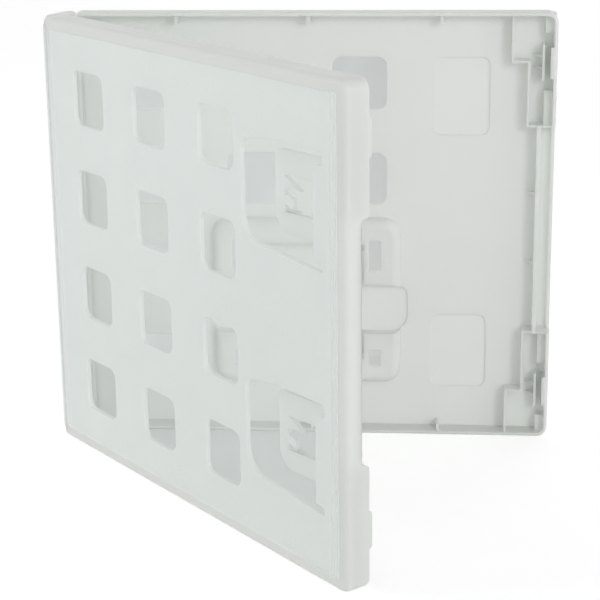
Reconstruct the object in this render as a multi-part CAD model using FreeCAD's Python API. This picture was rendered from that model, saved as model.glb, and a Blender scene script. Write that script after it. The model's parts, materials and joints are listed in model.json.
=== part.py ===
"""Hinged moulded case for a small game card, standing open, with its clear outer film.

One moulding makes both covers and the spine between them. Each cover is modelled flat: x runs
from its hinge axis to its free edge, y is the depth from its outer face inwards, z is up.
"""
import FreeCAD, Part
import math
import os
from FreeCAD import Vector

# Closed case, in millimetres
HEIGHT = 125.0
COVER_WIDTH = 136.4          # hinge axis to free edge
THICKNESS = 14.4             # outer face to outer face, closed
PANEL = 1.3                  # thickness of the large faces
WALL = 1.0                   # thickness of the rim walls
PARTING_GAP = 0.2            # between the two rims when closed
CORNER_RADIUS = 3.0          # free corners, seen from the front
HINGE_CORNER_RADIUS = 2.5    # corners beside the hinges
EDGE_RADIUS = 1.4            # rounding between outer face and rim
RIM_EDGE_RADIUS = 0.8        # rounding of the rim's outer edge

# Hinges and the opening they stand at
BEAD_RADIUS = 0.65           # round bead on each long edge of the spine
HINGE_CLEARANCE = 0.1
WALL_START = 1.5             # hinge axis to the start of the rim walls
BACK_HINGE_OPEN = 28.0       # degrees from closed
FRONT_HINGE_OPEN = 20.4

# Clear film around the outside
FILM = 0.15
FILM_BOTTOM = 3.4
FILM_TOP = 121.8
FILM_EDGE = 133.2            # hinge axis to the film's welded edge
FILM_HINGE_GAP = 0.9

# Rounded windows through both large faces
WINDOW_WIDTH = 15.6
WINDOW_HEIGHT = 15.2
WINDOW_RADIUS = 2.8
WINDOW_COLUMN_PITCH = 30.7
WINDOW_ROW_PITCH = 27.8
FRONT_FIRST_COLUMN = 22.8
BACK_FIRST_COLUMN = 19.6
FRONT_ROWS = (4, 4, 4)       # windows in each column, counted from the top
BACK_ROWS = (4, 2, 2)        # the card holder takes the place of the others
FULL_ROWS = 4

# Booklet clips and the openings behind them, in the front cover
CLIP_SPACING = 61.2
OPENING_START = 95.0
OPENING_ROOT = 124.0         # edge that the clip grows from
OPENING_END = 127.5
OPENING_HEIGHT = 28.6
OPENING_TOP_RADIUS = 3.0
OPENING_SWEEP_RADIUS = 7.0
OPENING_SWEEP_RISE = 2.4
OPENING_HEAD = 3.4           # height of the wide part above the clip's root
OPENING_TAIL = 2.0           # height of the wide part below it
OPENING_HEAD_BEND = 108.0    # where the upper edge turns down
OPENING_HEAD_FALL = 2.0
OPENING_SMALL_RADIUS = 0.5
CLIP_START = 104.2
CLIP_HEIGHT = 20.7
CLIP_OFFSET = 0.85           # clip centre above opening centre
CLIP_GAP = 3.8               # outer face to the clip's underside at its free edge
CLIP_ROOT_GAP = 5.4          # and at its root
CLIP_PLATE = 1.2
CLIP_EMBED = 0.3             # how far one piece of the clip runs into the next
CLIP_TOP_RADIUS = 1.5
CLIP_RADIUS = 5.5            # lower free corner
CLIP_ROOT_RADIUS = 1.0
CLIP_BAR = 3.4               # width of the clip's free edge
CLIP_ROOT_BAR = 1.5
CLIP_HIGH_ARM = 6.2          # height of the upper arm
CLIP_WINDOW = 9.0            # height of the window between the arms
CLIP_FINGER_WIDTH = 2.3
CLIP_FINGER_LENGTH = 5.6
CLIP_FINGER_OFFSET = 1.7     # finger below the clip's centre
CLIP_FINGER_DROP = 1.7       # how far its tip bends towards the panel
CLIP_SLIT = 1.4              # beside the finger

# Free edge: latches at both ends, thumb notch between them
TAB_LENGTH = 32.4
TAB_CORNER_RADIUS = 2.0
THUMB_EDGE = 2.0             # depth of the rim left at the notch
THUMB_SLOPE = 3.2            # rise of the notch across the rim wall
NOTCH_RADIUS = 3.0           # where the notch runs up to the tabs
LATCH_START = 9.0            # from the end of the case
LATCH_LENGTH = 10.2
LATCH_CLEARANCE = 0.15
PAD_THICKNESS = 1.9          # thickened rim beside the latch slot
LIP_THICKNESS = 0.9
LIP_START = 2.6              # from the end of the case
LIP_ROUND = 0.3
TONGUE_REACH = 2.3           # past the rim
TONGUE_BEVEL = 0.6           # at both ends of the tongue
BUMP = 0.35
STRIP_THICKNESS = 0.7
STRIP_DEPTH = 6.0
RAIL_THICKNESS = 0.65
RAIL_DEPTH = 6.2
RAIL_INSET_WIDE = 12.7       # from the free edge, beside the end of the case
RAIL_INSET_NARROW = 8.1
RAIL_STEP = 14.2             # from the end of the case
THUMB_WALL = 1.2
THUMB_WALL_INSET = 4.0
THUMB_WALL_DEPTH = 6.4
THUMB_LIP = 3.2              # depth of the free edge in the thumb recess
COVE_FLOOR = 1.5
GUSSET_THICKNESS = 0.9
GUSSET_LENGTH = 3.0
GUSSET_SPACING = 20.6
LEDGE_GAP = 3.0              # from the latch to the ledges beside it

# Stiffening ribs on the long walls of the back cover
RIB_FIRST = 29.6
RIB_PITCH = 37.3
RIB_COUNT = 3
RIB_THICKNESS = 0.8
RIB_HEIGHT = 2.2
RIB_DEPTH = 6.6

# Shallow rounded recesses beside the windows of the back cover
RECESS_CENTRE = 110.0
RECESS_WIDTH = 16.0
RECESS_HEIGHT = 22.2
RECESS_RADIUS = 2.5
RECESS_DEPTH = 0.5
RECESS_SPACING = 76.0

# Card holder in the back cover
HOLDER_CENTRE = 65.5
HOLDER_MIDDLE = 39.9
HOLDER_WIDTH = 55.0
HOLDER_HEIGHT = 50.0
HOLDER_RISE = 3.6
HOLDER_RADIUS = 5.0
HOLDER_EDGE = 2.6            # rounding of its outer edge
HOLDER_SKIN = 1.2
CARD_WIDTH = 33.0
CARD_HEIGHT = 35.0
CARD_CLEARANCE = 0.3
CARD_CORNER = 1.0
WELL_MIDDLE = 37.9
WELL_HEIGHT = 15.0
WELL_WIDTH = 59.0
WELL_RADIUS = 5.0
HOOK_HOLE_WIDTH = 3.8
HOOK_HOLES = ((54.2, 9.3), (22.9, 5.0))     # middle and height of each, up the case
HOOK_NIB = 0.7
HOOK_NIB_LENGTH = 3.0

# Values that follow from the sizes above
RIM_DEPTH = (THICKNESS - PARTING_GAP) / 2
SPINE_LENGTH = THICKNESS - 2 * BEAD_RADIUS
MID = HEIGHT / 2
UP = Vector(0, 0, 1)
ORIGIN = Vector(0, 0, 0)
BEYOND = 20.0                # how far a cutting tool runs past what it cuts
TOLERANCE = 1e-6
TONGUE_FACE = COVER_WIDTH - PAD_THICKNESS - LATCH_CLEARANCE - BUMP     # outer face of the front's latch


def rounded_wire(corners):
    """Closed outline in the XY plane through corners given as (x, y, radius)."""
    points = [Vector(x, y, 0) for x, y, _ in corners]
    stretches = []
    for i, (_, _, radius) in enumerate(corners):
        here = points[i]
        to_last = (points[i - 1] - here).normalize()
        to_next = (points[(i + 1) % len(points)] - here).normalize()
        if radius == 0:
            stretches.append((here, None, here))
            continue
        half = to_last.getAngle(to_next) / 2
        trim = radius / math.tan(half)
        inward = (to_last + to_next).normalize()
        crest = here + inward * (radius / math.sin(half) - radius)
        stretches.append((here + to_last * trim, crest, here + to_next * trim))
    edges = []
    for i, (start, crest, end) in enumerate(stretches):
        if crest is not None:
            edges.append(Part.Arc(start, crest, end).toShape())
        following = stretches[(i + 1) % len(stretches)][0]
        if end.distanceToPoint(following) > TOLERANCE:
            edges.append(Part.makeLine(end, following))
    return Part.Wire(edges)


def prism_up(corners, bottom, top):
    """Outline in x and y, run along z."""
    face = Part.Face(rounded_wire(corners))
    face.translate(Vector(0, 0, bottom))
    return face.extrude(Vector(0, 0, top - bottom))


def prism_in(corners, start, end):
    """Outline in x and z, run along the depth y."""
    face = Part.Face(rounded_wire(corners))
    face.rotate(ORIGIN, Vector(1, 0, 0), 90)
    face.translate(Vector(0, start, 0))
    return face.extrude(Vector(0, end - start, 0))


def prism_across(corners, start, push):
    """Outline in z and y, at x = start, run along the push vector."""
    face = Part.Face(rounded_wire(corners))
    face.rotate(ORIGIN, Vector(0, 1, 0), -90)
    face.translate(Vector(start, 0, 0))
    return face.extrude(push)


def rectangle(centre, middle, width, height, radius):
    """Corners of a rounded rectangle, for either kind of prism."""
    half_w, half_h = width / 2, height / 2
    return [(centre - half_w, middle - half_h, radius), (centre + half_w, middle - half_h, radius),
            (centre + half_w, middle + half_h, radius), (centre - half_w, middle + half_h, radius)]


def block(x0, x1, y0, y1, z0, z1):
    return Part.makeBox(x1 - x0, y1 - y0, z1 - z0, Vector(x0, y0, z0))


def both_ends(shape):
    """The shape at the bottom of the case and its mirror image at the top."""
    return [shape, shape.mirror(Vector(0, 0, MID), UP)]


def tray():
    """Panel with a rim on its top, bottom and free sides, its hinge edge cut to suit the bead."""
    outline = [(-BEYOND, 0, 0), (COVER_WIDTH, 0, CORNER_RADIUS),
               (COVER_WIDTH, HEIGHT, CORNER_RADIUS), (-BEYOND, HEIGHT, 0)]
    shell = prism_in(outline, 0, RIM_DEPTH)
    for depth, radius in ((0, EDGE_RADIUS), (RIM_DEPTH, RIM_EDGE_RADIUS)):
        shell = shell.makeFillet(radius, [e for e in shell.Edges if is_free_edge(e, depth)])
    inner_radius = CORNER_RADIUS - WALL
    cavity = [(-BEYOND - WALL, WALL, 0), (COVER_WIDTH - WALL, WALL, inner_radius),
              (COVER_WIDTH - WALL, HEIGHT - WALL, inner_radius), (-BEYOND - WALL, HEIGHT - WALL, 0)]
    shell = shell.cut(prism_in(cavity, PANEL, RIM_DEPTH + BEYOND))
    return shell.cut(hinge_side())


def is_free_edge(edge, depth):
    """Whether an edge of a cover's block lies all at one depth, away from its hinge end."""
    box = edge.BoundBox
    return abs(box.YMin - depth) + abs(box.YMax - depth) < TOLERANCE and box.XMax > -BEYOND + TOLERANCE


def hinge_side():
    """What is cut from a cover beside the bead: a groove, a 45 degree bevel and the wall's start."""
    offset = HINGE_CLEARANCE * math.sqrt(2)
    section = [(-BEYOND - WALL, -BEYOND, 0), (0, -BEYOND, 0), (0, BEAD_RADIUS - offset, 0),
               (PANEL - BEAD_RADIUS + offset, PANEL, 0), (WALL_START, PANEL, 0),
               (WALL_START, RIM_DEPTH + BEYOND, 0), (-BEYOND - WALL, RIM_DEPTH + BEYOND, 0)]
    bevel = prism_up(section, -BEYOND, HEIGHT + BEYOND)
    groove = Part.makeCylinder(BEAD_RADIUS + HINGE_CLEARANCE, HEIGHT + 2 * BEYOND,
                               Vector(0, BEAD_RADIUS, -BEYOND), UP)
    tools = [bevel, groove]
    tools += both_ends(corner_rounding(RIM_DEPTH))
    return tools[0].fuse(tools[1:])


def corner_rounding(depth):
    """Waste outside the rounded bottom corner at x = 0, z = 0."""
    radius = HINGE_CORNER_RADIUS
    waste = block(-BEYOND, radius, -BEYOND, depth + BEYOND, -BEYOND, radius)
    keep = Part.makeCylinder(radius, depth + 2 * BEYOND, Vector(radius, -BEYOND, radius),
                             Vector(0, 1, 0))
    return waste.cut(keep)


def windows(first_column, rows_per_column):
    """Cutters for the rounded windows of one cover."""
    cutters = []
    top_row = MID + WINDOW_ROW_PITCH * (FULL_ROWS - 1) / 2
    for column, rows in enumerate(rows_per_column):
        for row in range(rows):
            outline = rectangle(first_column + column * WINDOW_COLUMN_PITCH,
                                top_row - row * WINDOW_ROW_PITCH,
                                WINDOW_WIDTH, WINDOW_HEIGHT, WINDOW_RADIUS)
            cutters.append(prism_in(outline, -BEYOND, BEYOND))
    return cutters


def clip_opening(middle):
    """Cutter for the opening behind a booklet clip, with its swept lower corner."""
    low, high = middle - OPENING_HEIGHT / 2, middle + OPENING_HEIGHT / 2
    small = OPENING_SMALL_RADIUS
    outline = [(OPENING_START, low + OPENING_SWEEP_RISE, OPENING_SWEEP_RADIUS),
               (OPENING_END, low, small), (OPENING_END, low + OPENING_TAIL, small),
               (OPENING_ROOT, low + OPENING_TAIL + small, 0),
               (OPENING_ROOT, high - OPENING_HEAD, small),
               (OPENING_END, high - OPENING_HEAD, small), (OPENING_END, high, small),
               (OPENING_HEAD_BEND, high, 0), (OPENING_START, high - OPENING_HEAD_FALL, OPENING_TOP_RADIUS)]
    return prism_in(outline, -BEYOND, BEYOND)


def clip_gap(x):
    """Depth of a clip's underside, which slopes from its free edge to its root."""
    run = OPENING_ROOT + CLIP_PLATE - CLIP_START
    return CLIP_GAP + (CLIP_ROOT_GAP - CLIP_GAP) * (x - CLIP_START) / run


def booklet_clip(opening_middle):
    """Sloping plate with a window over the opening, the root wall it hangs from and a sprung finger."""
    middle = opening_middle + CLIP_OFFSET
    low, high = middle - CLIP_HEIGHT / 2, middle + CLIP_HEIGHT / 2
    root = OPENING_ROOT + CLIP_PLATE
    outline = prism_in([(CLIP_START, low, CLIP_RADIUS), (root, low, 0), (root, high, 0),
                        (CLIP_START, high, CLIP_TOP_RADIUS)], 0, BEYOND)
    slab = prism_up([(CLIP_START, CLIP_GAP, 0), (root, CLIP_ROOT_GAP, 0),
                     (root, CLIP_ROOT_GAP + CLIP_PLATE, CLIP_ROOT_RADIUS),
                     (CLIP_START, CLIP_GAP + CLIP_PLATE, 0)], low, high)
    window_start, finger_middle = CLIP_START + CLIP_BAR, middle - CLIP_FINGER_OFFSET
    plate = outline.common(slab).cut(clip_window(window_start, finger_middle, high - CLIP_HIGH_ARM))
    wall_low = max(opening_middle - OPENING_HEIGHT / 2 + OPENING_TAIL, low)
    wall_high = min(opening_middle + OPENING_HEIGHT / 2 - OPENING_HEAD, high)
    wall = block(OPENING_ROOT, root, PANEL / 2, CLIP_ROOT_GAP + CLIP_EMBED, wall_low, wall_high)
    return plate.fuse([wall, clip_finger(window_start, finger_middle)])


def clip_window(start, finger_middle, high):
    """Cutter for a clip's window, with a slit on either side of the finger and a cheek beyond each slit."""
    low, end = high - CLIP_WINDOW, OPENING_ROOT - CLIP_ROOT_BAR
    tip, slit = start + CLIP_FINGER_LENGTH, CLIP_FINGER_WIDTH / 2 + CLIP_SLIT
    return prism_in([(start, low, 0), (end, low, 0), (end, high, 0), (start, high, 0),
                     (tip, finger_middle + slit, 0), (start, finger_middle + slit, 0),
                     (start, finger_middle - slit, 0), (tip, finger_middle - slit, 0)], 0, BEYOND)


def clip_finger(start, middle):
    """Sprung finger in the clip's window, bent towards the panel."""
    root_gap = clip_gap(start)
    tip, bent = start + CLIP_FINGER_LENGTH, root_gap - CLIP_FINGER_DROP
    return prism_up([(start - CLIP_EMBED, root_gap, 0), (tip - CLIP_PLATE, bent, 0), (tip, bent, CLIP_EMBED),
                     (tip, bent + CLIP_PLATE, CLIP_EMBED), (tip - CLIP_PLATE, bent + CLIP_PLATE, 0),
                     (start - CLIP_EMBED, root_gap + CLIP_PLATE, 0)],
                    middle - CLIP_FINGER_WIDTH / 2, middle + CLIP_FINGER_WIDTH / 2)


def front_latch():
    """Lip behind the rim at the bottom end, its tongue and the web closing the tab's end."""
    inner = TONGUE_FACE - LIP_THICKNESS
    base = PANEL / 2
    web_start = TAB_LENGTH - WALL
    lip = block(inner, TONGUE_FACE, base, RIM_DEPTH - PARTING_GAP, LIP_START, web_start + WALL / 2)
    web = block(inner, COVER_WIDTH - WALL / 2, base, RIM_DEPTH, web_start, TAB_LENGTH)
    low = LATCH_START + LATCH_CLEARANCE
    high = low + LATCH_LENGTH - 2 * LATCH_CLEARANCE
    reach = RIM_DEPTH + TONGUE_REACH
    shoulder = reach - TONGUE_BEVEL
    tongue = prism_across([(low, base, 0), (high, base, 0), (high, shoulder, 0),
                           (high - TONGUE_BEVEL, reach, 0), (low + TONGUE_BEVEL, reach, 0),
                           (low, shoulder, 0)], inner, Vector(LIP_THICKNESS, 0, 0))
    bump = prism_up([(TONGUE_FACE - LIP_ROUND, RIM_DEPTH, 0), (TONGUE_FACE, RIM_DEPTH, 0),
                     (TONGUE_FACE + BUMP, RIM_DEPTH + TONGUE_REACH / 2, 0), (TONGUE_FACE, shoulder, 0),
                     (TONGUE_FACE - LIP_ROUND, shoulder, 0)], low, high)
    return lip.fuse([web, tongue, bump])


def thumb_notch():
    """Cutter for the sloped notch between the tabs, from one wall outside the rim to one wall inside."""
    outline = [(TAB_LENGTH, THUMB_EDGE - THUMB_SLOPE, NOTCH_RADIUS),
               (HEIGHT - TAB_LENGTH, THUMB_EDGE - THUMB_SLOPE, NOTCH_RADIUS),
               (HEIGHT - TAB_LENGTH, BEYOND, 0), (TAB_LENGTH, BEYOND, 0)]
    across = Vector(-WALL, THUMB_SLOPE, 0)
    return prism_across(outline, COVER_WIDTH + WALL, across + across + across)


def tab_corner():
    """Waste outside the rounded inner corner of the bottom tab."""
    radius = TAB_CORNER_RADIUS
    depth, height = RIM_DEPTH - radius, TAB_LENGTH - radius
    start = TONGUE_FACE - LIP_THICKNESS - LATCH_CLEARANCE
    length = COVER_WIDTH + WALL - start
    waste = Part.makeBox(length, 2 * radius, 2 * radius, Vector(start, depth, height))
    return waste.cut(Part.makeCylinder(radius, length, Vector(start, depth, height), Vector(1, 0, 0)))


def front_cover():
    middles = [MID - CLIP_SPACING / 2, MID + CLIP_SPACING / 2]
    cutters = [thumb_notch()] + windows(FRONT_FIRST_COLUMN, FRONT_ROWS)
    cutters += [clip_opening(middle) for middle in middles]
    additions = [booklet_clip(middle) for middle in middles] + both_ends(front_latch())
    cover = tray().cut(cutters).fuse(additions)
    return cover.cut(both_ends(tab_corner())).removeSplitter()


def corner_pocket():
    """Stepped rail round the latch at the bottom end of the back cover."""
    wide, narrow = COVER_WIDTH - RAIL_INSET_WIDE, COVER_WIDTH - RAIL_INSET_NARROW
    edge = COVER_WIDTH - WALL / 2
    t = RAIL_THICKNESS
    outside = [(wide, WALL / 2, 0), (edge, WALL / 2, 0), (edge, TAB_LENGTH, 0), (narrow, TAB_LENGTH, 0),
               (narrow, RAIL_STEP, 0), (wide, RAIL_STEP, 0)]
    inside = [(wide + t, -BEYOND, 0), (edge + BEYOND, -BEYOND, 0), (edge + BEYOND, TAB_LENGTH - t, 0),
              (narrow + t, TAB_LENGTH - t, 0), (narrow + t, RAIL_STEP - t, 0), (wide + t, RAIL_STEP - t, 0)]
    return prism_in(outside, PANEL / 2, RAIL_DEPTH).cut(prism_in(inside, 0, RAIL_DEPTH + BEYOND))


def latch_catch():
    """Strip, its two small gussets, thickened rim and raised ledges at the bottom end of the back cover."""
    low, high = LATCH_START, LATCH_START + LATCH_LENGTH
    base = PANEL / 2
    strip_end = TONGUE_FACE - LIP_THICKNESS - LATCH_CLEARANCE
    strip_start = strip_end - STRIP_THICKNESS
    pieces = [block(strip_start, strip_end, base, STRIP_DEPTH, low, high)]
    gusset_top = STRIP_DEPTH - STRIP_THICKNESS
    for share in (1 / 3, 2 / 3):
        gusset_low = low + share * LATCH_LENGTH - STRIP_THICKNESS / 2
        pieces.append(prism_up([(strip_start - GUSSET_LENGTH, base, 0), (strip_end, base, 0),
                                (strip_end, gusset_top, 0), (strip_start, gusset_top, 0)],
                               gusset_low, gusset_low + STRIP_THICKNESS))
    wall_middle, rim_middle = COVER_WIDTH - WALL / 2, COVER_WIDTH - (WALL + RIM_EDGE_RADIUS) / 2
    pieces.append(block(COVER_WIDTH - PAD_THICKNESS, rim_middle, base, RIM_DEPTH,
                        low + STRIP_THICKNESS, high - STRIP_THICKNESS))
    ledge_depth = THICKNESS - RIM_DEPTH - TONGUE_REACH - 2 * LATCH_CLEARANCE
    pocket_end = TAB_LENGTH - RAIL_THICKNESS / 2
    for ledge_low, ledge_high in ((WALL / 2, low - LEDGE_GAP), (high + LEDGE_GAP, pocket_end)):
        pieces.append(block(strip_end, wall_middle, base, ledge_depth, ledge_low, ledge_high))
    return pieces[0].fuse(pieces[1:])


def thumb_recess():
    """Cutter for the free edge between the latches of the back cover, hollowed by a cove."""
    start, end = COVER_WIDTH - THUMB_WALL_INSET, COVER_WIDTH - WALL
    radius = (end - start) / 2
    depth = COVE_FLOOR + radius
    low, high = TAB_LENGTH, HEIGHT - TAB_LENGTH
    cove = Part.makeCylinder(radius, high - low, Vector((start + end) / 2, depth, low), UP)
    side = block(start, end, depth, THUMB_LIP, low, high)
    mouth = block(start, COVER_WIDTH + BEYOND, THUMB_LIP, BEYOND, low, high)
    return cove.fuse([side, mouth])


def thumb_wall():
    """Ledge, inner wall and two curved gussets along the thumb recess."""
    start = COVER_WIDTH - THUMB_WALL_INSET - THUMB_WALL
    ends = (TAB_LENGTH - RAIL_THICKNESS, HEIGHT - TAB_LENGTH + RAIL_THICKNESS)
    ledge = block(start, COVER_WIDTH - WALL / 2, PANEL / 2, THUMB_LIP, *ends)
    wall = block(start, start + THUMB_WALL, PANEL / 2, THUMB_WALL_DEPTH, *ends)
    pieces = [ledge.cut(thumb_recess()), wall]
    rise = THUMB_WALL_DEPTH - PANEL - GUSSET_THICKNESS
    for height in (MID - GUSSET_SPACING / 2, MID + GUSSET_SPACING / 2):
        low = height - GUSSET_THICKNESS / 2
        web = block(start - GUSSET_LENGTH, start + THUMB_WALL / 2, PANEL / 2, PANEL + rise,
                    low, low + GUSSET_THICKNESS)
        hollow = Part.makeCylinder(1, GUSSET_THICKNESS, Vector(0, 0, low), UP)
        stretch = FreeCAD.Matrix()
        stretch.scale(GUSSET_LENGTH, rise, 1)
        hollow = hollow.transformGeometry(stretch)
        hollow.translate(Vector(start - GUSSET_LENGTH, PANEL + rise, 0))
        pieces.append(web.cut(hollow))
    return pieces[0].fuse(pieces[1:])


def wall_ribs():
    """Small upright ribs along the long walls of the back cover."""
    ribs = []
    for number in range(RIB_COUNT):
        x = RIB_FIRST + number * RIB_PITCH
        rib = block(x - RIB_THICKNESS / 2, x + RIB_THICKNESS / 2, PANEL / 2, RIB_DEPTH,
                    WALL / 2, WALL + RIB_HEIGHT)
        ribs += both_ends(rib)
    return ribs


def card_pocket(margin):
    """Outline of the space for the card, grown by a margin."""
    grow = 2 * (CARD_CLEARANCE + margin)
    return rectangle(HOLDER_CENTRE, HOLDER_MIDDLE, CARD_WIDTH + grow, CARD_HEIGHT + grow, CARD_CORNER)


def finger_well(margin):
    """Outline of the finger wells across the holder's sides, grown by a margin."""
    return rectangle(HOLDER_CENTRE, WELL_MIDDLE, WELL_WIDTH, WELL_HEIGHT + 2 * margin, WELL_RADIUS)


def holder_shell():
    """Raised holder with a rounded outer edge, hollow from outside under its corner blocks."""
    top = PANEL + HOLDER_RISE
    raised = prism_in(rectangle(HOLDER_CENTRE, HOLDER_MIDDLE, HOLDER_WIDTH, HOLDER_HEIGHT,
                                HOLDER_RADIUS), 0, top)
    rim = [e for e in raised.Edges if e.BoundBox.YMin > top - TOLERANCE]
    raised = raised.makeFillet(HOLDER_EDGE, rim)
    skin = HOLDER_SKIN
    core = prism_in(rectangle(HOLDER_CENTRE, HOLDER_MIDDLE, HOLDER_WIDTH - 2 * HOLDER_EDGE,
                              HOLDER_HEIGHT - 2 * HOLDER_EDGE, HOLDER_RADIUS - skin), -BEYOND, top - skin)
    keep = [prism_in(card_pocket(skin), -BEYOND, top), prism_in(finger_well(skin), -BEYOND, top)]
    return raised, core.cut(keep)


def hook_holes():
    """Cutters for the slots behind the hooks on both sides of the card."""
    holes = []
    wall_back = CARD_WIDTH / 2 + CARD_CLEARANCE + HOLDER_SKIN
    for side in (-1, 1):
        for middle, height in HOOK_HOLES:
            centre = HOLDER_CENTRE + side * (wall_back + HOOK_HOLE_WIDTH / 2)
            holes.append(prism_in(rectangle(centre, middle, HOOK_HOLE_WIDTH, height, HOLDER_SKIN / 2),
                                  PANEL, BEYOND))
    return holes


def hook_nibs():
    """Small sloped nibs that hold the card's edges down."""
    nibs = []
    top = PANEL + HOLDER_RISE
    for side in (-1, 1):
        wall_face = HOLDER_CENTRE + side * (CARD_WIDTH / 2 + CARD_CLEARANCE)
        for middle, _ in HOOK_HOLES:
            section = [(wall_face + side * HOLDER_SKIN / 2, top - 2 * HOOK_NIB, 0),
                       (wall_face, top - 2 * HOOK_NIB, 0), (wall_face - side * HOOK_NIB, top - HOOK_NIB, 0),
                       (wall_face, top, 0), (wall_face + side * HOLDER_SKIN / 2, top, 0)]
            nibs.append(prism_up(section, middle - HOOK_NIB_LENGTH / 2, middle + HOOK_NIB_LENGTH / 2))
    return nibs


def back_cover():
    cover = tray()
    cover = cover.cut([thumb_recess()] + windows(BACK_FIRST_COLUMN, BACK_ROWS))
    raised, core = holder_shell()
    cover = cover.fuse([raised, thumb_wall()] + wall_ribs() + both_ends(corner_pocket())
                       + both_ends(latch_catch()))
    pocket = prism_in(card_pocket(0), PANEL, BEYOND)
    well = prism_in(finger_well(0), PANEL - RECESS_DEPTH, BEYOND)
    recesses = [prism_in(rectangle(RECESS_CENTRE, MID + side * RECESS_SPACING / 2, RECESS_WIDTH,
                                   RECESS_HEIGHT, RECESS_RADIUS), PANEL - RECESS_DEPTH, BEYOND)
                for side in (-1, 1)]
    cover = cover.cut([core, pocket, well] + recesses + hook_holes())
    return cover.fuse(hook_nibs()).removeSplitter()


def spine():
    """Flat strip between the hinges, bevelled inside, with a bead along each hinge axis."""
    offset = HINGE_CLEARANCE * math.sqrt(2)
    inner = PANEL - BEAD_RADIUS
    section = [(0, -BEAD_RADIUS, 0), (SPINE_LENGTH, -BEAD_RADIUS, 0), (SPINE_LENGTH, -offset, 0),
               (SPINE_LENGTH - inner - offset, inner, 0), (inner + offset, inner, 0), (0, -offset, 0)]
    strip = prism_up(section, 0, HEIGHT)
    left = both_ends(corner_rounding(PANEL))
    right = [waste.mirror(Vector(SPINE_LENGTH / 2, 0, 0), Vector(1, 0, 0)) for waste in left]
    strip = strip.cut(left + right)
    beads = [Part.makeCylinder(BEAD_RADIUS, HEIGHT - 2 * HINGE_CORNER_RADIUS,
                               Vector(x, 0, HINGE_CORNER_RADIUS), UP) for x in (0, SPINE_LENGTH)]
    return strip.fuse(beads).removeSplitter()


def cover_film():
    """Clear film on a cover's outer face."""
    return block(FILM_HINGE_GAP, FILM_EDGE, -FILM, 0, FILM_BOTTOM, FILM_TOP)


def spine_film():
    return block(FILM_HINGE_GAP, SPINE_LENGTH - FILM_HINGE_GAP, -BEAD_RADIUS - FILM, -BEAD_RADIUS,
                 FILM_BOTTOM, FILM_TOP)


def on_back(shape):
    """Stand the back cover along +x with its inside towards -y."""
    shape.translate(Vector(0, -BEAD_RADIUS, 0))
    return shape.mirror(ORIGIN, Vector(0, 1, 0))


def on_spine(shape):
    shape.rotate(ORIGIN, UP, -(90 + BACK_HINGE_OPEN))
    return shape


def front_hinge():
    turn = math.radians(90 + BACK_HINGE_OPEN)
    return Vector(math.cos(turn), -math.sin(turn), 0) * SPINE_LENGTH


def on_front(shape):
    shape.translate(Vector(0, -BEAD_RADIUS, 0))
    shape.rotate(ORIGIN, UP, -(BACK_HINGE_OPEN + FRONT_HINGE_OPEN))
    shape.translate(front_hinge())
    return shape


def main():
    os.makedirs("parts", exist_ok=True)
    nodes = {"back_cover": on_back(back_cover()), "spine": on_spine(spine()),
             "front_cover": on_front(front_cover()), "film_back": on_back(cover_film()),
             "film_spine": on_spine(spine_film()), "film_front": on_front(cover_film())}
    whole = Part.makeCompound(list(nodes.values())).optimalBoundingBox(False, False)
    to_origin = Vector(-whole.Center.x, -whole.Center.y, -whole.ZMin)
    for name, shape in nodes.items():
        shape.translate(to_origin)
        shape.exportStep("parts/%s.step" % name)
        print(name, "solids", len(shape.Solids), "volume %.1f" % shape.Volume, "valid", shape.isValid())
    print("back hinge axis at", tuple(round(v, 5) for v in to_origin))
    print("front hinge axis at", tuple(round(v, 5) for v in to_origin + front_hinge()))


main()
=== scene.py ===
"""Looks of a white moulded case for a small game card, standing open, with its clear outer film."""
import json
import math

import bmesh
import bpy
from mathutils import Matrix, Vector


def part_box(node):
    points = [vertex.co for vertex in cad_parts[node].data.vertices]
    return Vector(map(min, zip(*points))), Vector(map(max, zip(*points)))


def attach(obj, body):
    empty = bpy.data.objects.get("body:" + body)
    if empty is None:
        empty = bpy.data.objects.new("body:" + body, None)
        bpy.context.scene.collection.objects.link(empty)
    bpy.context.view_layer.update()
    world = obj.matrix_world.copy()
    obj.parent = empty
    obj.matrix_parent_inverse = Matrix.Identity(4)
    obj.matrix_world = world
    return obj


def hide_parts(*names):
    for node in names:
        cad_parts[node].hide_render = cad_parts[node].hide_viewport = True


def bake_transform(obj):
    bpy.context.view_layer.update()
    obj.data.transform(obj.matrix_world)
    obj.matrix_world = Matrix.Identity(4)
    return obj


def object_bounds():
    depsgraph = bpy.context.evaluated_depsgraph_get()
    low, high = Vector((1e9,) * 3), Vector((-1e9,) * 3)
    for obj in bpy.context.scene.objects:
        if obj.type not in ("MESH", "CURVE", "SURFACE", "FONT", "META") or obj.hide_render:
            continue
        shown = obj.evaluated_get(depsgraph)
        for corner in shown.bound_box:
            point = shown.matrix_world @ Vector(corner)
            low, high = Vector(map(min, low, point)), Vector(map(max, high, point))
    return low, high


MM = 0.001
UNIT = (0.0, 1.0)
WHITE = (1, 1, 1, 1)

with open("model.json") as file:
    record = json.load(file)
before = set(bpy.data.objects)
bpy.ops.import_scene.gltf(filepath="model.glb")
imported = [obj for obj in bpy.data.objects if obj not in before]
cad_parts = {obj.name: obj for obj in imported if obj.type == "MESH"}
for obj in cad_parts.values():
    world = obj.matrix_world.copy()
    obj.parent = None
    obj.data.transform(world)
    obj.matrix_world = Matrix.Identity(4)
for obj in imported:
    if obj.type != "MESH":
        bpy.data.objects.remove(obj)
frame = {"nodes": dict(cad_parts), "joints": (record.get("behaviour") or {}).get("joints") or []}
CAD_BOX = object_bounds()

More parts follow.
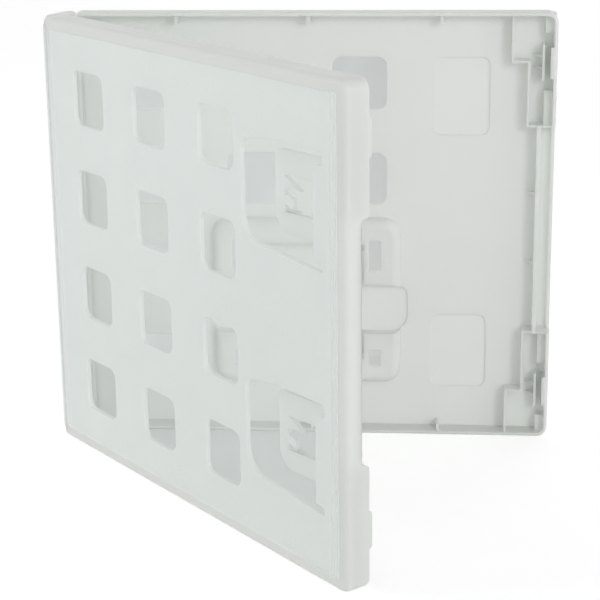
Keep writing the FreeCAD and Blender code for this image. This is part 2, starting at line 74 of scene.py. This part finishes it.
# Camera, solved from the case's own edges
CAMERA_LENS = 106.3                      # millimetres
CAMERA_SENSOR = 36.0                     # millimetres across
CAMERA_PLACE = (42.40, -443.49, 193.2)   # millimetres
CAMERA_DOWN = 17.05                      # degrees
CAMERA_LEFT = 5.03                       # degrees
CAMERA_ROLL = -0.73                      # degrees
CAMERA_NEAR = 0.01                       # metres to the nearest thing that it shows

# Lamps: name, place and side in metres, power in watts, and whether gloss mirrors them
LAMP_AIM = (0, 0, 0.06)
LAMPS = (("softbox_left", (-0.75, 0.0, 0.55), 0.5, 1.3, False),
         ("softbox_key", (0.62, -1.0, 0.5), 0.3, 2.95, True),
         ("softbox_side", (1.2, -0.45, 0.35), 0.6, 1.0, True),
         ("softbox_back", (0.6, 2.2, 0.4), 1.6, 13.0, False))

# Surroundings and floor
SKY_LOW = 0.90                           # strength of the surroundings near the floor
SKY_HIGH = 0.20                          # and overhead
SKY_BEHIND_FILM = (0.66, 0.68, 0.67, 1)  # surroundings that the eye meets through the film
FLOOR_SIZE = 12.0                        # metres
FLOOR_DROP = 0.02 * MM                   # room between the floor and the case's lower faces
FLOOR_COLOUR = (0.93, 0.93, 0.93, 1)
FLOOR_ROUGHNESS = 0.9
FLOOR_GLOSS = 0.0
FLOOR_LIFT = 0.45                        # white added for the eye, so that the open floor is white
FILM_LIFT = 0.03                         # the same where the eye meets the floor through the film
CLEAR_FACES = 0.5                        # a ray past more clear faces than this has met the film

# Noise
NOISE_DETAIL = 2.0
NOISE_SPAN = (0.3, 0.7)                  # where most of its values lie

# Plastic
PLASTIC_LIGHT = (0.855, 0.875, 0.85, 1)
PLASTIC_DARK = (0.835, 0.855, 0.83, 1)
PLASTIC_CLOUD = 45 * MM                  # size of the patches of the two whites
PLASTIC_CLOUD_DETAIL = 3.0
PLASTIC_ROUGHNESS = (0.36, 0.46)
PLASTIC_PATCH = 9 * MM                   # size of the patches of more and less roughness
PLASTIC_IOR = 1.49
PLASTIC_DEPTH = 0.85                     # share of light that enters and scatters
HINGE_DEPTH = 0.0                        # the same in the thin strips at the hinges
PLASTIC_SCATTER = 2.0 * MM
SCATTER_SHARES = (1.0, 1.0, 1.0)         # red, green and blue scatter alike
EDGE_SOFTNESS = 0.18 * MM
EDGE_SAMPLES = 4
GRAIN_SIZE = 0.25 * MM
GRAIN_HEIGHT = 0.05 * MM
GRAIN_STRENGTH = 0.08

# Look of the film
FILM_COLOUR = (0.88, 0.92, 0.91, 1)      # of its haze
FILM_HAZE = (0.02, 0.05)                 # least and most that each face of the film hides
WELD_AND_HIGHLIGHT_COLOUR = (0.95, 0.98, 0.97, 1)      # both again, along its welded lines: a milky weld, made whiter to paint in the highlight that the ridges catch
WELD_HAZE = (0.45, 0.55)
FILM_CLOUD = 25 * MM                     # size of the patches of more and less haze
FILM_TINT = (0.985, 0.998, 0.997, 1)     # of what it lets through and mirrors
FILM_SHINE = 0.05                        # share mirrored by each face, seen square on
FILM_RISE = 5.0                          # power by which that share grows towards the edge of sight
FILM_GLOSS = 0.10                        # roughness of its reflections

# Shape of the film, in millimetres
FILM_GAP = 0.04                          # between the film and the face under it
FILM_THICKNESS = 0.13
FILM_STEP = 4.0                          # spacing of the film's mesh
SEAM_LINES = (2.2, 0.7)                  # welded ridges, from the film's free edge
SEAM_WIDTHS = (0.25, 0.12)
SEAM_HEIGHT = 0.02
SEAM_FINE = 0.1                          # spacing of the mesh across the seam
SEAM_ZONE = 3.4                          # width of the film that has that spacing
EDGE_CURL = 0.04                         # the free edge stands off the face beside the last weld
NOTCH_INSET = 4.6                        # small nick beside the seam, at the top and bottom
NOTCH_HALF = 0.5                         # half of its width
NOTCH_DEPTH = 1.1
NOTCH_SHARES = (-1, -0.5, 0, 0.5, 1)     # where the mesh follows it, in half widths
MOUTH_LIFT = 0.16                        # the open top edge stands off the face
MOUTH_ZONE = 5.0                         # height over which it lifts
EDGE_FINE = 0.5                          # spacing of the mesh near the upper and lower edges

# Hinges, in millimetres
WEB_LIFTS = (-0.6, 0.03)                 # inner and outer faces of the web, from the outer face
LINING_LIFTS = (-1.33, -1.1)             # the same of the lining on the inner side
LINING_RUNS = (1.3, 0.85)                # its edge and its bend, from the hinge axis
HINGE_ROUND = 2.5                        # web and lining stop this far from the top and bottom
ARC_STEPS = 12                           # facets round a hinge


def new_material(name):
    """New material, with its nodes and its standard shader."""
    material = bpy.data.materials.new(name)
    material.use_nodes = True
    tree = material.node_tree
    return material, tree, tree.nodes["Principled BSDF"]


def add_node(tree, kind, **settings):
    """New node, with settings of its own."""
    node = tree.nodes.new(kind)
    for key, value in settings.items():
        setattr(node, key, value)
    return node


def noise(tree, size, detail=NOISE_DETAIL):
    """Noise whose features are about as large as size, in metres."""
    place = add_node(tree, "ShaderNodeTexCoord")
    texture = add_node(tree, "ShaderNodeTexNoise")
    texture.inputs["Scale"].default_value = 1 / size
    texture.inputs["Detail"].default_value = detail
    tree.links.new(place.outputs["Object"], texture.inputs["Vector"])
    return texture.outputs["Fac"]


def ramp(tree, source, low, high):
    """Noise spread over two colours."""
    node = add_node(tree, "ShaderNodeValToRGB")
    for element, position, colour in zip(node.color_ramp.elements, NOISE_SPAN, (low, high)):
        element.position = position
        element.color = colour
    tree.links.new(source, node.inputs["Fac"])
    return node.outputs["Color"]


def spread(tree, source, low, high, span=NOISE_SPAN):
    """Source over its span mapped to the numbers from low to high."""
    node = add_node(tree, "ShaderNodeMapRange")
    limits = {"From Min": span[0], "From Max": span[1], "To Min": low, "To Max": high}
    for name, value in limits.items():
        node.inputs[name].default_value = value
    tree.links.new(source, node.inputs["Value"])
    return node.outputs["Result"]


def combine(tree, operation, first, second):
    """Two values worked into one; the second is another node's value or a plain number."""
    node = add_node(tree, "ShaderNodeMath", operation=operation)
    tree.links.new(first, node.inputs[0])
    if isinstance(second, float):
        node.inputs[1].default_value = second
    else:
        tree.links.new(second, node.inputs[1])
    return node.outputs["Value"]


def mix(tree, share, first, second):
    """First shader where share is 0, second where it is 1."""
    node = add_node(tree, "ShaderNodeMixShader")
    tree.links.new(share, node.inputs["Fac"])
    tree.links.new(first, node.inputs[1])
    tree.links.new(second, node.inputs[2])
    return node.outputs["Shader"]


def plastic_material(name, depth):
    """White polypropylene: faint milky depth, a fine matte grain and slightly softened edges."""
    material, tree, shader = new_material(name)
    cloud = noise(tree, PLASTIC_CLOUD, PLASTIC_CLOUD_DETAIL)
    patches = noise(tree, PLASTIC_PATCH)
    tree.links.new(ramp(tree, cloud, PLASTIC_DARK, PLASTIC_LIGHT), shader.inputs["Base Color"])
    tree.links.new(spread(tree, patches, *PLASTIC_ROUGHNESS), shader.inputs["Roughness"])
    shader.inputs["IOR"].default_value = PLASTIC_IOR
    shader.inputs["Subsurface Weight"].default_value = depth
    shader.inputs["Subsurface Radius"].default_value = SCATTER_SHARES
    shader.inputs["Subsurface Scale"].default_value = PLASTIC_SCATTER
    edge = add_node(tree, "ShaderNodeBevel", samples=EDGE_SAMPLES)
    edge.inputs["Radius"].default_value = EDGE_SOFTNESS
    bump = add_node(tree, "ShaderNodeBump")
    bump.inputs["Strength"].default_value = GRAIN_STRENGTH
    bump.inputs["Distance"].default_value = GRAIN_HEIGHT
    tree.links.new(noise(tree, GRAIN_SIZE), bump.inputs["Height"])
    tree.links.new(edge.outputs["Normal"], bump.inputs["Normal"])
    tree.links.new(bump.outputs["Normal"], shader.inputs["Normal"])
    return material


def film_material(name, colour, hiding):
    """Clear film: soft reflections that grow towards the edge of sight, and an uneven haze."""
    material, tree, shader = new_material(name)
    tree.nodes.remove(shader)
    clear = add_node(tree, "ShaderNodeBsdfTransparent")
    clear.inputs["Color"].default_value = FILM_TINT
    gloss = add_node(tree, "ShaderNodeBsdfGlossy")
    gloss.inputs["Color"].default_value = FILM_TINT
    gloss.inputs["Roughness"].default_value = FILM_GLOSS
    haze = add_node(tree, "ShaderNodeBsdfDiffuse")
    haze.inputs["Color"].default_value = colour
    facing = add_node(tree, "ShaderNodeLayerWeight")
    steep = combine(tree, "POWER", facing.outputs["Facing"], FILM_RISE)
    shine = spread(tree, steep, FILM_SHINE, 1.0, UNIT)
    hidden = spread(tree, noise(tree, FILM_CLOUD), *hiding)
    mirror = mix(tree, shine, clear.outputs["BSDF"], gloss.outputs["BSDF"])
    milky = mix(tree, hidden, mirror, haze.outputs["BSDF"])
    tree.links.new(milky, tree.nodes["Material Output"].inputs["Surface"])
    return material


def add_object(name, data):
    """New object in the scene."""
    thing = bpy.data.objects.new(name, data)
    bpy.context.collection.objects.link(thing)
    return thing


def add_mesh(name, verts, faces, material):
    """New piece from points in millimetres."""
    mesh = bpy.data.meshes.new(name)
    mesh.from_pydata([tuple(Vector(p) * MM) for p in verts], [], faces)
    mesh.materials.append(material)
    shell = bmesh.new()
    shell.from_mesh(mesh)
    bmesh.ops.recalc_face_normals(shell, faces=shell.faces)
    shell.to_mesh(mesh)
    shell.free()
    return add_object(name, mesh)


def hinge(name):
    """A hinge's place in millimetres, and how far it stands open, in radians."""
    joint = [j for j in frame["joints"] if j["name"] == name][0]
    return Vector(joint["pos_m"]) / MM, math.radians(-joint["range_deg"][0])


BACK_HINGE, BACK_OPEN = hinge("back_hinge")
FRONT_HINGE, FRONT_OPEN = hinge("front_hinge")
FACE_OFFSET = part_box("back_cover")[1].y / MM - BACK_HINGE.y     # from a hinge axis to the outer face


class Panel:
    """One flat leaf of the case: where it starts, which way it runs and which way is outside."""

    def __init__(self, place, along, out):
        self.place = place
        self.along = along
        self.out = out

    def point(self, run, lift, height):
        """Run from the hinge axis, lift above the outer face, height above the floor."""
        spot = self.place + self.along * run + self.out * (FACE_OFFSET + lift)
        return Vector((spot.x, spot.y, height))


ALONG_SPINE = (FRONT_HINGE - BACK_HINGE).normalized()
SPINE_LENGTH = (FRONT_HINGE - BACK_HINGE).length
FRONT_TURN = BACK_OPEN + FRONT_OPEN
ALONG_FRONT = Vector((math.cos(FRONT_TURN), -math.sin(FRONT_TURN), 0))
BACK = Panel(BACK_HINGE, Vector((1, 0, 0)), Vector((0, 1, 0)))
SPINE = Panel(BACK_HINGE, ALONG_SPINE, Vector((ALONG_SPINE.y, -ALONG_SPINE.x, 0)))
FRONT = Panel(FRONT_HINGE, ALONG_FRONT, Vector((ALONG_FRONT.y, -ALONG_FRONT.x, 0)))
FILM_LOW, FILM_HIGH = (corner.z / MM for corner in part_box("film_back"))
FILM_START, FILM_END = (corner.x / MM - BACK_HINGE.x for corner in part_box("film_back"))


def steps(start, end, spacing):
    """Even steps from start to end, no wider than spacing."""
    count = max(1, math.ceil((end - start) / spacing))
    return [start + (end - start) * i / count for i in range(count + 1)]


def bell(distance, width):
    """1 at no distance, falling to almost nothing at twice the width."""
    return math.exp(-(distance / width) ** 2)


def smooth(share):
    """Smooth rise from 0 to 1."""
    share = min(1.0, max(0.0, share))
    return share * share * (3 - 2 * share)


def shell_faces(across, up):
    """Faces of a thin closed sheet: an inner and an outer grid, joined round their border."""
    layer = across * up
    faces = []
    for i in range(across - 1):
        for j in range(up - 1):
            a, b, c, d = i * up + j, (i + 1) * up + j, (i + 1) * up + j + 1, i * up + j + 1
            faces.append((a, b, c, d))
            faces.append((layer + d, layer + c, layer + b, layer + a))
    border = ([i * up for i in range(across)] + [(across - 1) * up + j for j in range(1, up)]
              + [i * up + up - 1 for i in range(across - 2, -1, -1)] + list(range(up - 2, 0, -1)))
    for k, a in enumerate(border):
        b = border[(k + 1) % len(border)]
        faces.append((b, a, layer + a, layer + b))
    return faces


def casts_no_shade(piece):
    """Thin clear film lets all light through to the plastic under it."""
    piece.visible_shadow = False
    piece.visible_diffuse = False


def film_lift(run, height, seam_end):
    """Height of the film's inner face over the cover: welded ridges and the open upper edge."""
    lift = FILM_GAP
    if seam_end is not None:
        for inset, width in zip(SEAM_LINES, SEAM_WIDTHS):
            lift += SEAM_HEIGHT * bell(run - seam_end + inset, width)
        lift += EDGE_CURL * smooth(1 - (seam_end - run) / SEAM_LINES[-1])
        open_share = smooth((seam_end - SEAM_ZONE - run) / MOUTH_ZONE) * smooth(run / MOUTH_ZONE)
    else:
        open_share = 1.0
    return lift + MOUTH_LIFT * open_share * smooth((height - FILM_HIGH + MOUTH_ZONE) / MOUTH_ZONE)


def nick_depth(run, seam_end):
    """How far the small nick cuts into the film's upper and lower edges."""
    if seam_end is None:
        return 0.0
    return NOTCH_DEPTH * max(0.0, 1 - abs(run - seam_end + NOTCH_INSET) / NOTCH_HALF)


def film_runs(end, welded):
    """Where the columns of the film's mesh are, closer together at the seam and the nick."""
    if not welded:
        return steps(FILM_START, end, FILM_STEP)
    seam_start = end - SEAM_ZONE
    runs = steps(FILM_START, seam_start, FILM_STEP)[:-1] + steps(seam_start, end, SEAM_FINE)
    nick = end - NOTCH_INSET
    return sorted(runs + [nick + share * NOTCH_HALF for share in NOTCH_SHARES])


def film_heights():
    """Where the rows of the film's mesh are, closer together near its upper and lower edges."""
    low = FILM_LOW + MOUTH_ZONE
    high = FILM_HIGH - MOUTH_ZONE
    return (steps(FILM_LOW, low, EDGE_FINE) + steps(low, high, FILM_STEP)[1:-1]
            + steps(high, FILM_HIGH, EDGE_FINE))


def film_sheet(name, panel, end, welded, material):
    """Thin film over one leaf of the case, closed all round."""
    seam_end = end if welded else None
    runs = film_runs(end, welded)
    heights = film_heights()
    verts = []
    for thickness in (0, FILM_THICKNESS):
        for run in runs:
            nicked = nick_depth(run, seam_end)
            for height in heights:
                share = (height - FILM_LOW) / (FILM_HIGH - FILM_LOW)
                level = FILM_LOW + nicked + share * (FILM_HIGH - FILM_LOW - 2 * nicked)
                verts.append(panel.point(run, film_lift(run, height, seam_end) + thickness, level))
    return add_mesh(name, verts, shell_faces(len(runs), len(heights)), material)


def weld_lines(piece, panel, end, weld_and_highlight):
    """Give the faces along the welded lines their hazier, whiter material: a milky weld, with a
    painted highlight standing in for the light that the ridges catch.
    """
    piece.data.materials.append(weld_and_highlight)
    for face in piece.data.polygons:
        run = (face.center / MM - panel.place).dot(panel.along)
        for inset, width in zip(SEAM_LINES, SEAM_WIDTHS):
            if abs(run - end + inset) < width:
                face.material_index = 1


def add_film(film, weld_and_highlight):
    """Film over the front cover, the spine and the back cover."""
    rows = (("film_sheet_back", BACK, FILM_END, True, "back_cover", "film_back"),
            ("film_sheet_spine", SPINE, SPINE_LENGTH - FILM_START, False, "spine", "film_spine"),
            ("film_sheet_front", FRONT, FILM_END, True, "front_cover", "film_front"))
    for name, panel, end, welded, body, node in rows:
        piece = film_sheet(name, panel, end, welded, film)
        if welded:
            weld_lines(piece, panel, end, weld_and_highlight)
        piece.data.shade_smooth()
        casts_no_shade(piece)
        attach(piece, body)
        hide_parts(node)


def fold_line(first, second):
    """Hinge axis between two leaves, and the way from it along the first one."""
    if first is BACK:
        return first.place, first.along
    return second.place, -first.along


def add_strip(name, lines, ends, material):
    """Upright strip between its inner and outer lines, from one height to another."""
    verts = [(p.x, p.y, height) for line in lines for p in line for height in ends]
    return add_mesh(name, verts, shell_faces(len(lines[0]), len(ends)), material)


def fold_band(name, first, second, lifts, ends, material):
    """Thin strip from one leaf round the hinge axis to the next; lifts are its two faces."""
    axis, towards_first = fold_line(first, second)
    start = math.atan2(first.out.y, first.out.x)
    turn = (math.atan2(second.out.y, second.out.x) - start + math.pi) % (2 * math.pi) - math.pi
    directions = [start + turn * step / ARC_STEPS for step in range(ARC_STEPS + 1)]
    lines = []
    for lift in lifts:
        radius = FACE_OFFSET + lift
        line = [axis + towards_first * FILM_START + first.out * radius]
        line += [axis + Vector((math.cos(angle), math.sin(angle), 0)) * radius for angle in directions]
        line.append(axis + second.along * FILM_START + second.out * radius)
        lines.append(line)
    return add_strip(name, lines, ends, material)


def lining(name, first, second, ends, material):
    """Thin strip over the groove on the inner side of a hinge."""
    axis, towards_first = fold_line(first, second)
    lines = []
    for lift in LINING_LIFTS:
        radius = FACE_OFFSET + lift
        line = [axis + towards_first * run + first.out * radius for run in LINING_RUNS]
        line += [axis + second.along * run + second.out * radius for run in reversed(LINING_RUNS)]
        lines.append(line)
    return add_strip(name, lines, ends, material)


def add_hinge_strips(plastic, film):
    """Thin web of the moulding, the lining inside it and the film over it, at both hinges."""
    height = CAD_BOX[1].z / MM
    film_lifts = (FILM_GAP, FILM_GAP + FILM_THICKNESS)
    film_ends = (FILM_LOW, FILM_HIGH)
    web_ends = (HINGE_ROUND, height - HINGE_ROUND)
    for label, first, second, body_a, body_b in (("back", BACK, SPINE, "back_cover", "spine"),
                                                 ("front", SPINE, FRONT, "spine", "front_cover")):
        web = fold_band("hinge_web_" + label, first, second, WEB_LIFTS, web_ends, plastic)
        inner = lining("hinge_lining_" + label, first, second, web_ends, plastic)
        fold = fold_band("film_fold_" + label, first, second, film_lifts, film_ends, film)
        casts_no_shade(fold)
        pieces = ((web, "moulded_plastic"), (inner, "moulded_plastic"), (fold, "clear_film"))
        for piece, slot in pieces:
            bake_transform(piece)


def dress_nodes(plastic, film):
    """Give the solids their materials."""
    for name, node in frame["nodes"].items():
        node.data.materials.clear()
        node.data.materials.append(film if name.startswith("film") else plastic)


def seen(tree):
    """1 for rays from the eye, mirrored or through glass, and 0 for the rest."""
    path = add_node(tree, "ShaderNodeLightPath")
    total = path.outputs["Is Camera Ray"]
    for name in ("Is Glossy Ray", "Is Transmission Ray"):
        total = combine(tree, "MAXIMUM", total, path.outputs[name])
    return total


def through_film(tree):
    """1 for rays from the eye that have passed the film, and 0 for the rest."""
    path = add_node(tree, "ShaderNodeLightPath")
    passed = combine(tree, "GREATER_THAN", path.outputs["Transparent Depth"], CLEAR_FACES)
    return combine(tree, "MULTIPLY", passed, path.outputs["Is Camera Ray"])


def add_floor():
    """Pale floor that the eye sees as white away from the case, with the case's shadow on it."""
    half = FLOOR_SIZE / 2
    corners = [(-half, -half, 0), (half, -half, 0), (half, half, 0), (-half, half, 0)]
    mesh = bpy.data.meshes.new("floor")
    mesh.from_pydata(corners, [], [(0, 1, 2, 3)])
    floor = add_object("floor", mesh)
    floor.location.z = -FLOOR_DROP
    material, tree, shader = new_material("pale_floor")
    shader.inputs["Base Color"].default_value = FLOOR_COLOUR
    shader.inputs["Roughness"].default_value = FLOOR_ROUGHNESS
    shader.inputs["Specular IOR Level"].default_value = FLOOR_GLOSS
    shader.inputs["Emission Color"].default_value = WHITE
    lift = spread(tree, through_film(tree), FLOOR_LIFT, FILM_LIFT, UNIT)
    strength = combine(tree, "MULTIPLY", seen(tree), lift)
    tree.links.new(strength, shader.inputs["Emission Strength"])
    mesh.materials.append(material)


def backdrop(tree, colour):
    """Surroundings of one colour."""
    node = add_node(tree, "ShaderNodeBackground")
    node.inputs["Color"].default_value = colour
    return node.outputs["Background"]


def add_world():
    """Soft surroundings, brighter near the floor than overhead, and white to the eye."""
    world = bpy.data.worlds.new("studio")
    bpy.context.scene.world = world
    world.use_nodes = True
    tree = world.node_tree
    lighting = tree.nodes["Background"]
    lighting.inputs["Color"].default_value = WHITE
    direction = add_node(tree, "ShaderNodeTexCoord")
    split = add_node(tree, "ShaderNodeSeparateXYZ")
    tree.links.new(direction.outputs["Generated"], split.inputs["Vector"])
    sky = spread(tree, split.outputs["Z"], SKY_LOW, SKY_HIGH, UNIT)
    tree.links.new(sky, lighting.inputs["Strength"])
    open_view = mix(tree, seen(tree), lighting.outputs["Background"], backdrop(tree, WHITE))
    whole = mix(tree, through_film(tree), open_view, backdrop(tree, SKY_BEHIND_FILM))
    tree.links.new(whole, tree.nodes["World Output"].inputs["Surface"])


def add_lamps():
    """Square soft lamps, all turned towards the case."""
    for name, place, side, power, mirrored in LAMPS:
        lamp = bpy.data.lights.new(name, "AREA")
        lamp.shape = "SQUARE"
        lamp.size = side
        lamp.energy = power
        holder = add_object(name, lamp)
        holder.location = place
        holder.visible_glossy = mirrored
        way = Vector(LAMP_AIM) - Vector(place)
        holder.rotation_euler = way.to_track_quat("-Z", "Y").to_euler()


def add_camera():
    """Camera at the photograph's place and angle."""
    camera = bpy.data.cameras.new("camera")
    camera.lens = CAMERA_LENS
    camera.sensor_width = CAMERA_SENSOR
    camera.clip_start = CAMERA_NEAR
    holder = add_object("camera", camera)
    turn = (Matrix.Rotation(math.radians(CAMERA_LEFT), 4, "Z")
            @ Matrix.Rotation(math.radians(90 - CAMERA_DOWN), 4, "X")
            @ Matrix.Rotation(math.radians(CAMERA_ROLL), 4, "Z"))
    holder.matrix_world = Matrix.Translation(Vector(CAMERA_PLACE) * MM) @ turn
    bpy.context.scene.camera = holder


plastic = plastic_material("white_polypropylene", PLASTIC_DEPTH)
thin_plastic = plastic_material("hinge_polypropylene", HINGE_DEPTH)
film = film_material("clear_cover_film", FILM_COLOUR, FILM_HAZE)
# Whiter, hazier film along the welds: partly the weld's milky look, partly a painted highlight along
# the ridges
weld_and_highlight = film_material("welded_film_and_painted_highlight", WELD_AND_HIGHLIGHT_COLOUR, WELD_HAZE)
dress_nodes(plastic, film)
add_film(film, weld_and_highlight)
add_hinge_strips(thin_plastic, film)
add_floor()
add_world()
add_lamps()
add_camera()
bpy.context.scene.view_settings.view_transform = "Standard"

bpy.context.view_layer.update()
